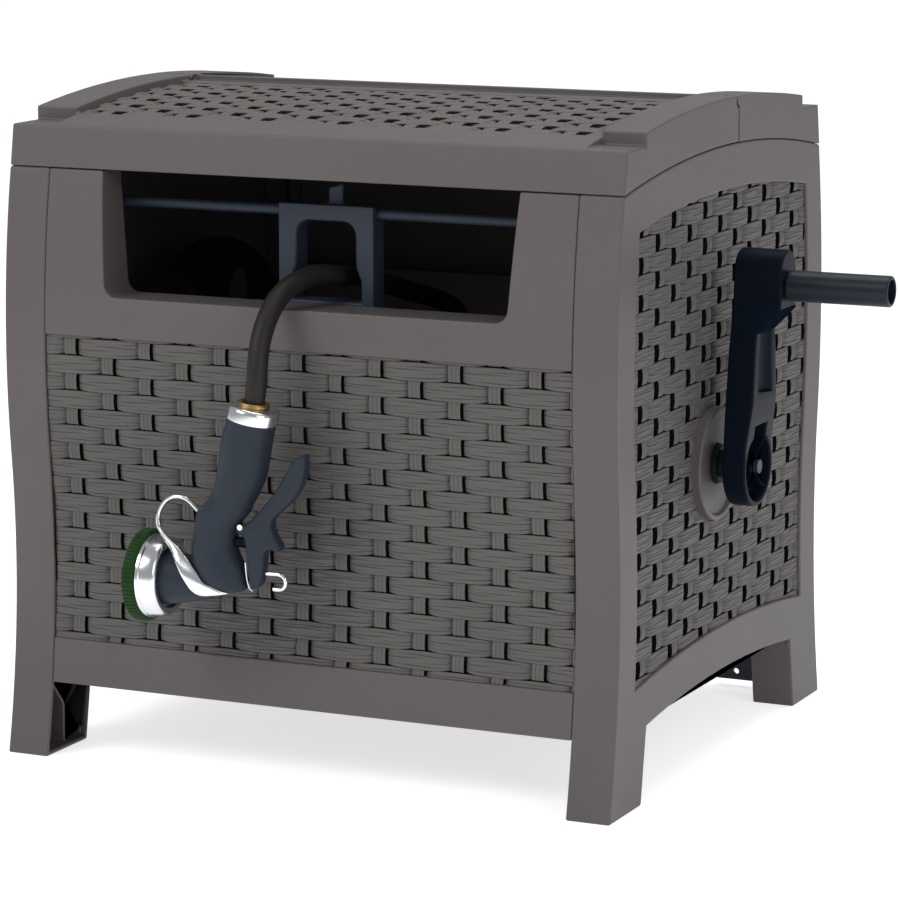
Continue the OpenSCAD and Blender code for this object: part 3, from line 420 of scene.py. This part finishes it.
def plate(name, outline, thick, edge, trimmed, material):
    """Plate on an outline in x and z, cut back by trimmed, with its edges rounded."""
    curve = bpy.data.curves.new(name, "CURVE")
    curve.dimensions = "2D"
    curve.fill_mode = "BOTH"
    curve.extrude = thick / 2 - edge
    curve.bevel_depth = edge
    curve.bevel_resolution = PLATE_ROUNDNESS
    curve.offset = -edge - trimmed
    spline = curve.splines.new("POLY")
    spline.points.add(len(outline) - 1)
    for knot, (x, z) in zip(spline.points, outline):
        knot.co = (x, z, 0, 1)
    spline.use_cyclic_u = True
    flat = link(bpy.data.objects.new(name, curve))
    solid = bmesh.new()
    solid.from_mesh(flat.evaluated_get(bpy.context.evaluated_depsgraph_get()).to_mesh())
    bmesh.ops.remove_doubles(solid, verts=solid.verts, dist=PLATE_WELD)
    bmesh.ops.recalc_face_normals(solid, faces=solid.faces)
    points = [(v.co.x, v.co.z, v.co.y) for v in solid.verts]
    faces = [[v.index for v in reversed(f.verts)] for f in solid.faces]
    solid.free()
    bpy.data.objects.remove(flat)
    return mesh_object(name, at_nozzle(points), faces, material, crease=PLATE_CREASE)


lever = plate(
    "trigger_lever", round_corners(TRIGGER), TRIGGER_THICK, TRIGGER_ROUND, TRIGGER_TRIM, NOZZLE_MAT,
)
piece(lever, "trigger", "nozzle", "nozzle_trigger")

# round rods at the trigger: its pivot, the valve's stem, the wire clip and the bright edge; the stem is set
# in the crank's dark plastic as painted shadow between grip and trigger
PIVOT, PIN_HALF, PIN_D = (-30, 50), 7.4, 5
pin_path = [(PIVOT[0], y, PIVOT[1]) for y in (-PIN_HALF, 0, PIN_HALF)]
piece(tube("pivot_pin", at_nozzle(pin_path), PIN_D, CHROME_MAT), "guide", "chrome", "trigger_pin")
# painted shadow: the stem is a dark rod that fills the shaded gap between grip and trigger
SHADOW_STEM, STEM_D = [(-44, 0, 36), (-34, 0, 36), (-25, 0, 35.5)], 9
piece(tube("valve_stem_painted_shadow", at_nozzle(SHADOW_STEM), STEM_D, CRANK_MAT), "guide", "dark_plastic")
CLIP_D = 3.5
CLIP = [
    (-9, 0, 11), (-3, 0, 11), (3, 0, 11), (7.6, 0, 9.1),
    (9.5, 0, 4.5), (7.6, 0, -0.1), (3, 0, -2), (-2, 0, -2),
]
piece(tube("clip_wire", at_nozzle(CLIP), CLIP_D, CHROME_MAT), "trigger", "chrome", "trigger_clip")
EDGE_D = 1.4
EDGE = [(-25.4, -6.4, 20), (-24.6, -6.4, 11), (-23.2, -6.4, 3), (-21, -6.2, -2.4), (-18.6, -6, -4)]
piece(tube("trigger_edge", at_nozzle(EDGE), EDGE_D, CHROME_MAT), "trigger", "chrome")

# finely ribbed dial, its outer edges cut off at a slant
TEETH, TOOTH_POINTS, TOOTH_DEPTH = 66, 4, 1.4
DIAL_X0, DIAL_X1, DIAL_BORE, DIAL_R = -128.4, -117.4, 30.4, 40
DIAL_SLANT_X, DIAL_SLANT_R = 1.6, 2.2
ribs = np.tile([DIAL_R, DIAL_R, DIAL_R - TOOTH_DEPTH, DIAL_R - TOOTH_DEPTH], TEETH)
DIAL = [
    (DIAL_X1, DIAL_BORE), (DIAL_X1, ribs - DIAL_SLANT_R), (DIAL_X1 - DIAL_SLANT_X, ribs),
    (DIAL_X0 + DIAL_SLANT_X, ribs), (DIAL_X0, ribs - DIAL_SLANT_R), (DIAL_X0, DIAL_BORE),
    (DIAL_X1, DIAL_BORE),
]
dial_rings = turned(DIAL, TEETH * TOOTH_POINTS)
dial = mesh_object("dial", np.vstack(dial_rings), ring_faces(dial_rings), GREEN_MAT)
dial.data.polygons.foreach_set("use_smooth", [False] * len(dial.data.polygons))
piece(dial, "pattern_dial", "green", "pattern_ring")

# curved faces of the cabinet
R_SUM = BELLY["r"] + WAIST["r"]
WAIST_Z = BELLY["z"] - math.sqrt(R_SUM**2 - (R_SUM - BELLY["half"] + WAIST["half"]) ** 2)
TURN_Z = BELLY["z"] - BELLY["r"] * (BELLY["z"] - WAIST_Z) / R_SUM


def half_depth(z):
    """Half the cabinet's depth at a height: a bulge above, and a hollow below."""
    upper = BELLY["half"] - BELLY["r"] + np.sqrt(BELLY["r"] ** 2 - (z - BELLY["z"]) ** 2)
    lower = WAIST["half"] + WAIST["r"] - np.sqrt(WAIST["r"] ** 2 - (z - WAIST_Z) ** 2)
    return np.where(z > TURN_Z, upper, lower)


# weave: a row's stakes stand at every second place, and its bands dip beside them and bow over the rest
ROW, ROW_WAVE = 15.6, 0.3
LOW = -3.6
STAKE_HALF, STAKE_H, STAKE_ROUND = 5.6, 3.1, 0.4
# seam in a stake: its place as a share of half the stake, half width and depth
STAKE_SEAM, STAKE_SEAM_HALF, STAKE_SEAM_CUT = 0.34, 0.1, 0.45
CREST, CREST_VARY = 3.0, 0.4
BAND_ROUND, STRAND_VARY = 0.4, 0.25
# strands of a band, and the share of a strand's width that its seam takes on each side
STRANDS, SEAM = 5, 0.14
# depth of the seams between strands, and their sideways drift as a share of the band: waves along the row
CUT, CUT_VARY, CUT_LENGTH, CUT_BY_STRAND, CUT_BY_ROW = 0.45, 0.25, 11, 4, 2.7
DRIFT, DRIFT_LENGTH, DRIFT_BY_SEAM, DRIFT_BY_ROW = 0.035, 15, 2.1, 1.3
# ditch under a row, its floor painted with shade: half its length, and the width from which it is full depth
DITCH_HALF, DITCH_FULL = 17, 0.2
# how far a row's edges stand in and drop, and the widths left for the walls of the ditch and the joint
EDGE_IN, EDGE_DROP, DITCH_WALL, JOINT_HALF = 0.1, 0.3, 0.03, 0.02
STEPS = [(i, f) for i in range(STRANDS) for f in (0, SEAM, 1 - SEAM)] + [(STRANDS, 0)]
HASH_A, HASH_B, HASH_C, HASH_SPREAD = 12.9898, 78.233, 37.719, 43758.5453
CREST_DRAW, STRAND_DRAW, ROW_SEED = 1, 2, 7


def jitter(a, b, c):
    """Fixed pseudo-random number from -0.5 to 0.5."""
    x = np.sin(a * HASH_A + b * HASH_B + c * HASH_C) * HASH_SPREAD
    return x - np.floor(x) - 0.5


def weave_row(u, row, stake, slot, dip=10, sink=-0.5, ditch=1.0):
    """Lines of one row, from its lower to its upper edge: place across the rows, and height over the bed.

    A band starts at the height sink beside a slot and reaches its crest after the length dip.
    The ditch under the row, its floor painted with shade, is ditch wide at its stakes.
    """
    wave = (1 if row % 2 == 0 else -1) * ROW_WAVE * np.cos(np.pi * u / stake)
    low, high = row * ROW + wave, (row + 1) * ROW - wave
    off = np.abs((u / stake - row + 1) % 2 - 1) * stake
    groove = ditch * np.clip(1 - (off / DITCH_HALF) ** 2, 0, None)
    t = np.clip((off - STAKE_HALF - slot) / dip, 0, 1)
    band_no = np.floor((u / stake - row) / 2)
    crest = CREST + CREST_VARY * jitter(row, band_no, CREST_DRAW)
    on_stake, in_slot = off <= STAKE_HALF, (off > STAKE_HALF) & (off < STAKE_HALF + slot)

    def seam_drift(seam):
        """Sideways wander of a seam between strands; the band's own edges run true."""
        if seam in (0, STRANDS):
            return 0
        return DRIFT * np.sin(u / DRIFT_LENGTH + DRIFT_BY_SEAM * seam + DRIFT_BY_ROW * row)

    def seam_cut(strand):
        return CUT + CUT_VARY * np.sin(u / CUT_LENGTH + CUT_BY_STRAND * strand + CUT_BY_ROW * row)

    def surface(strand, share):
        """Height at a share of a strand's width, where 0 is in the seam before it."""
        across = 2 * (strand + share) / STRANDS - 1
        cut = 0 if share else seam_cut(strand)
        bow = crest - (crest - sink) * (1 - t) ** 2
        vary = STRAND_VARY * jitter(row * ROW_SEED + strand, band_no, STRAND_DRAW)
        band = bow - BAND_ROUND * across**2 + vary - cut
        stake_seam = STAKE_SEAM_CUT * (np.abs(off - STAKE_HALF * STAKE_SEAM) < STAKE_SEAM_HALF)
        stake_h = STAKE_H - across**2 - stake_seam - STAKE_ROUND * (off / STAKE_HALF) ** 4
        return np.where(in_slot, LOW, np.where(on_stake, stake_h, band))

    def floor_under(edge_height):
        share = np.clip(groove / DITCH_FULL, 0, 1)
        return np.where(in_slot, LOW, (1 - share) * (edge_height - EDGE_DROP) + share * LOW)

    start, end = low + groove + EDGE_IN, high - EDGE_IN
    under, over = floor_under(surface(*STEPS[0])), surface(*STEPS[-1]) - EDGE_DROP
    lines = [(low + JOINT_HALF, under), (low + groove + DITCH_WALL, under)]
    for strand, share in STEPS:
        place = (strand + share) / STRANDS + seam_drift(round(strand + share))
        lines.append((start + (end - start) * place, surface(strand, share)))
    return lines + [(high - JOINT_HALF, over)]


# places sampled beside a stake's edge, a slot's far side and, in shares of half a stake, a stake's seam
BY_STAKE, BY_SLOT, BY_SEAM = (-0.1, 0.05), (-0.05, 0.1, 2.5, 5.5), (-0.1, 0, 0.1)


def samples_u(u0, u1, stake, slot):
    """Places along a row: close together on and beside the stakes."""
    near = [0, stake / 2]
    near += [STAKE_HALF + x for x in BY_STAKE]
    near += [STAKE_HALF + slot + x for x in BY_SLOT]
    near += [STAKE_HALF * (STAKE_SEAM + x) for x in BY_SEAM]
    rel = sorted({-x for x in near} | set(near))[1:]
    ks = range(int(u0 // stake) - 1, int(u1 // stake) + 3)
    u = np.array([k * stake + r for k in ks for r in rel])
    return np.concatenate([[u0], u[(u > u0) & (u < u1)], [u1]])


# a face is painted with shade, as a gap where shadow falls, when it lies this near the bed, or climbs by
# this much
PAINTED_SHADE_RISE, PAINTED_SHADE_CLIMB = 1.6, 2.2
LEAST_AREA = 1e-4


def woven(
    name, span_u, span_v, stake, first, slot, place, node, body,
    hole=None, mats=(WICKER_MAT, PAINTED_SHADE_MAT), **bands,
):
    """Woven sheet with a stake of the even rows at first: place(u, v, height) gives cabinet millimetres."""
    us = samples_u(span_u[0] - first, span_u[1] - first, stake, slot)
    rows = range(math.floor(span_v[0] / ROW), math.ceil(span_v[1] / ROW))
    lines = [line for row in rows for line in weave_row(us, row, stake, slot, **bands)]
    v = np.clip(np.array([line[0] for line in lines]), *span_v)
    h = np.array([line[1] for line in lines])
    points = place(np.broadcast_to(us + first, v.shape), v, h).reshape(-1, 3)
    index = np.arange(v.size).reshape(v.shape)
    quads = np.stack([index[:-1, :-1], index[:-1, 1:], index[1:, 1:], index[1:, :-1]], -1).reshape(-1, 4)
    sides = points[quads]
    area = np.linalg.norm(np.cross(sides[:, 2] - sides[:, 0], sides[:, 3] - sides[:, 1]), axis=1)
    keep = area > LEAST_AREA
    if hole is not None:
        keep &= ~hole(sides.mean(1))
    quads = quads[keep]
    obj = mesh_object(name, points, quads.tolist(), *mats)
    # painted shade: faces deep in the gaps and on their steep walls take the second, near-black material
    corners = h.reshape(-1)[quads]
    painted_shade = (corners.mean(1) < LOW + PAINTED_SHADE_RISE) | (np.ptp(corners, axis=1) > PAINTED_SHADE_CLIMB)
    obj.data.polygons.foreach_set("material_index", painted_shade.astype(int).tolist())
    return piece(obj, body, "wicker", node)


# woven fields of the front and back, between the posts
BED = 5.2
ROW_Z = 111.4
FRONT_STAKE, FRONT_FIRST, FRONT_SLOT = 36.85, -5.0, 1.4
SIDE_GAP, FIELD_GAP = 0.6, 0.2
FIELD_U = (SIDE_GAP - POST_X, POST_X - SIDE_GAP)
FIELD_V = (FIELD_Z[0] + FIELD_GAP - ROW_Z, FIELD_Z[1] - FIELD_GAP - ROW_Z)


def on_front(sign):
    def place(u, v, h):
        return np.stack([u, -sign * (half_depth(v + ROW_Z) - BED + h), v + ROW_Z], -1)
    return place


for sign, side in ((1, "front"), (-1, "back")):
    woven(
        f"{side}_wicker", FIELD_U, FIELD_V, FRONT_STAKE, FRONT_FIRST, FRONT_SLOT,
        on_front(sign), f"{side}_weave", "cabinet",
    )

# woven fields of the ends: their spans reach past the frame, and on_end draws them in to its edges
END_Z = 109.8
END_STAKE, END_FIRST, END_SLOT = 36.6, -109.8, 4.2
END_U, END_V = (-214, 214), (-8, 398)
END_TUCK, END_TOP_TUCK = 0.3, 0.7
BOSS_R = 47


def on_end(sign):
    def place(u, v, h):
        z = v + END_Z
        reach = half_depth(z) - POST_W - END_TUCK
        y = np.clip(u, -reach, reach)
        top = ARC_Z + np.sqrt((LID_EDGE["r"] - POST_W + END_TOP_TUCK) ** 2 - y**2)
        low = ARCH["z"] - ARCH["r"] + np.sqrt((ARCH["r"] + POST_W + END_TUCK) ** 2 - y**2)
        return np.stack([sign * (OUTER_X - BED + h), y, np.clip(z, low, top)], -1)
    return place


def in_boss(p):
    return np.hypot(p[:, 1] - REEL["y"], p[:, 2] - REEL["z"]) < BOSS_R


for sign, side in ((1, "right"), (-1, "left")):
    woven(
        f"{side}_wicker", END_U, END_V, END_STAKE, END_FIRST, END_SLOT,
        on_end(sign), f"{side}_weave", "cabinet", hole=in_boss,
    )

# woven fields of the top, with deeper dips and a flatter relief, in lighter copies of the wicker and its
# painted shade as painted light from above
TOP_LIFT, TOP_RELIEF = 0.3, 0.84
TOP_BANDS = dict(dip=17, sink=-2.4, ditch=1.8)
LID_ROWS, REAR_ROWS = 12, 8
BORDER_Y = 185
BORDER_LAP = 1


def on_top(start):
    def place(u, v, h):
        a = (start + v) / LID_FIELD_R
        r = LID_FIELD_R + TOP_LIFT + TOP_RELIEF * (h - LOW)
        return np.stack([u, r * np.sin(a), ARC_Z + r * np.cos(a)], -1)
    return place


for name, rows, start, node, carrier in (
    ("lid_wicker", LID_ROWS, BORDER_LAP - BORDER_Y, "lid_weave", "lid"),
    ("rear_wicker", REAR_ROWS, BORDER_Y - BORDER_LAP - REAR_ROWS * ROW, "rear_top_weave", "cabinet"),
):
    woven(
        name, FIELD_U, (-SIDE_GAP, rows * ROW + SIDE_GAP), FRONT_STAKE, FRONT_FIRST, FRONT_SLOT,
        on_top(start), node, carrier, mats=(TOP_WICKER_PAINTED_LIGHT_MAT, TOP_PAINTED_SHADE_MAT), **TOP_BANDS,
    )

# hose on the drum, its ends straight
WIND_R, WIND_PITCH, WIND_TURNS, WIND_STEPS = 107.5, 19, 20, 16
turn = np.linspace(0, WIND_TURNS, WIND_TURNS * WIND_STEPS + 1)
coil = np.stack([
    (turn - WIND_TURNS / 2) * WIND_PITCH,
    REEL["y"] + WIND_R * np.cos(2 * np.pi * turn),
    REEL["z"] + WIND_R * np.sin(2 * np.pi * turn),
], -1)
coil = np.vstack([coil[0] - (0, 0, HOSE_D), coil, coil[-1] + (0, 0, HOSE_D)])
piece(tube("wound_hose", coil, HOSE_D, HOSE_MAT, resolution=3), "reel", "hose", "hose_winding")

# shoulder of the crank, where the arm widens to the block that carries the grip
ARM_X, BLOCK_X, ARM_IN = OUTER_X + 46, OUTER_X + 66, 12
SHOULDER_Z = REEL["z"] + 119, REEL["z"] + 141
SHOULDER_HALF = 23.7, 20.4
SHOULDER_STEPS, SHOULDER_RISE, SHOULDER_PROUD = 9, 1.1, 0.2
SHOULDER_CORNER, SHOULDER_CHAMFER = 2.0, 0.6
shoulder_rings = []
for z, half, rise in zip(
    np.linspace(*SHOULDER_Z, SHOULDER_STEPS),
    np.linspace(*SHOULDER_HALF, SHOULDER_STEPS),
    np.linspace(0, SHOULDER_RISE, SHOULDER_STEPS),
):
    x = ARM_X + SHOULDER_PROUD + (BLOCK_X - ARM_X) * min(rise, 1)
    near_side = [
        (ARM_X - ARM_IN, half), (x - SHOULDER_CORNER, half),
        (x - SHOULDER_CHAMFER, half - SHOULDER_CHAMFER), (x, half - SHOULDER_CORNER),
    ]
    outline = near_side + [(px, -py) for px, py in reversed(near_side)]
    shoulder_rings.append([(px, REEL["y"] + py, z) for px, py in outline])
piece(loft("crank_shoulder", shoulder_rings, SHOULDER_MAT), "reel", "dark_plastic")

# rounded edges of the mouldings: millimetres within which facets are joined, degrees that count as flat,
# degrees from which an edge is sharp, and each solid's rounding in millimetres
WELD, FLAT, SHARP, BEVEL_STEPS = 0.6, 0.6, 40, 3
EDGES = dict(
    left_end_panel=1.8, right_end_panel=1.8, front_panel=1.5, back_panel=1.5, lid=1.8, rear_top=0.9,
    crank_arm=2.0, crank_grip=0.8, guide_carriage=2.6, anchor_tabs=0.6,
)


def soften(name, width):
    """Rounds the sharp edges of a solid, as a moulding has them, once its facets are joined."""
    mods = nodes[name].modifiers
    mods.new("weld", "WELD").merge_threshold = WELD * MM
    flat = mods.new("flat", "DECIMATE")
    flat.decimate_type = "DISSOLVE"
    flat.angle_limit = math.radians(FLAT)
    bevel = mods.new("edges", "BEVEL")
    bevel.width = width * MM
    bevel.segments = BEVEL_STEPS
    bevel.limit_method = "ANGLE"
    bevel.angle_limit = math.radians(SHARP)
    bevel.use_clamp_overlap = False
    mods.new("normals", "WEIGHTED_NORMAL")


for name, width in EDGES.items():
    soften(name, width)

# floor and background, in metres
STAGE_COLOUR = srgb(250, 250, 250)
STAGE_ROUGH = 0.9
WHITE = (1, 1, 1, 1)
FLOOR_HALF, FLOOR_GLOW = 12, 0.7
SKY_LIGHT, SKY_SEEN = 0.36, 1.0


def white_stage(name, glow):
    """Pale matt surface that is white to the camera and to reflections, and keeps the shadow."""
    mat, tree, bsdf = new_material(name)
    bsdf.inputs["Base Color"].default_value = STAGE_COLOUR
    bsdf.inputs["Roughness"].default_value = STAGE_ROUGH
    bsdf.inputs["Emission Color"].default_value = WHITE
    path = tree.nodes.new("ShaderNodeLightPath")
    seen = tree.nodes.new("ShaderNodeMath")
    seen.operation = "MAXIMUM"
    tree.links.new(path.outputs["Is Camera Ray"], seen.inputs[0])
    tree.links.new(path.outputs["Is Glossy Ray"], seen.inputs[1])
    scaled = tree.nodes.new("ShaderNodeMath")
    scaled.operation = "MULTIPLY"
    scaled.inputs[1].default_value = glow
    tree.links.new(seen.outputs[0], scaled.inputs[0])
    tree.links.new(scaled.outputs[0], bsdf.inputs["Emission Strength"])
    return mat


floor_mesh = bpy.data.meshes.new("floor")
floor_corners = [(x * FLOOR_HALF, y * FLOOR_HALF, 0) for x, y in ((-1, -1), (1, -1), (1, 1), (-1, 1))]
floor_mesh.from_pydata(floor_corners, [], [(0, 1, 2, 3)])
floor_mesh.materials.append(white_stage("floor_white", FLOOR_GLOW))
floor = link(bpy.data.objects.new("floor", floor_mesh))

world = bpy.data.worlds.new("studio")
bpy.context.scene.world = world
world.use_nodes = True
sky = world.node_tree
background = sky.nodes["Background"]
background.inputs["Color"].default_value = WHITE
light_path = sky.nodes.new("ShaderNodeLightPath")
strength = sky.nodes.new("ShaderNodeMapRange")
strength.inputs["To Min"].default_value = SKY_LIGHT
strength.inputs["To Max"].default_value = SKY_SEEN
sky.links.new(light_path.outputs["Is Camera Ray"], strength.inputs["Value"])
sky.links.new(strength.outputs["Result"], background.inputs["Strength"])

# camera, from the cabinet's lines in the photograph: millimetres, with its near and far limits in metres
CAMERA_AT = (1471.8, -3146.3, 882.7)
CAMERA_LOOK = Vector((-0.4113, 0.8939, -0.1783))
CAMERA_SENSOR, CAMERA_LENS = 36, 155.0
CAMERA_NEAR, CAMERA_FAR = 0.1, 50
camera = link(bpy.data.objects.new("camera", bpy.data.cameras.new("camera")))
camera.location = row_frame([CAMERA_AT])[0]
camera.rotation_mode = "QUATERNION"
camera.rotation_quaternion = CAMERA_LOOK.to_track_quat("-Z", "Y")
camera.data.sensor_width = CAMERA_SENSOR
camera.data.lens = CAMERA_LENS
camera.data.clip_start = CAMERA_NEAR
camera.data.clip_end = CAMERA_FAR
bpy.context.scene.camera = camera

# lamps, in metres and watts
LAMP_SIZE = 1.6
LAMPS = dict(
    key=dict(at=(-1.6, -2.6, 2.6), target=(-0.05, 0, 0.3), power=40),
    fill=dict(at=(2.6, -1.6, 1.4), target=(-0.05, 0, 0.3), power=15),
    top=dict(at=(0.2, 0.6, 2.8), target=(-0.05, 0, 0.5), power=27),
)


def area_light(name, at, target, power):
    data = bpy.data.lights.new(name, "AREA")
    data.size = LAMP_SIZE
    data.energy = power
    lamp = link(bpy.data.objects.new(name, data))
    lamp.location = at
    lamp.rotation_mode = "QUATERNION"
    lamp.rotation_quaternion = (Vector(target) - Vector(at)).to_track_quat("-Z", "Y")


for name, settings in LAMPS.items():
    area_light(name, **settings)

bpy.context.scene.view_settings.view_transform = "Standard"
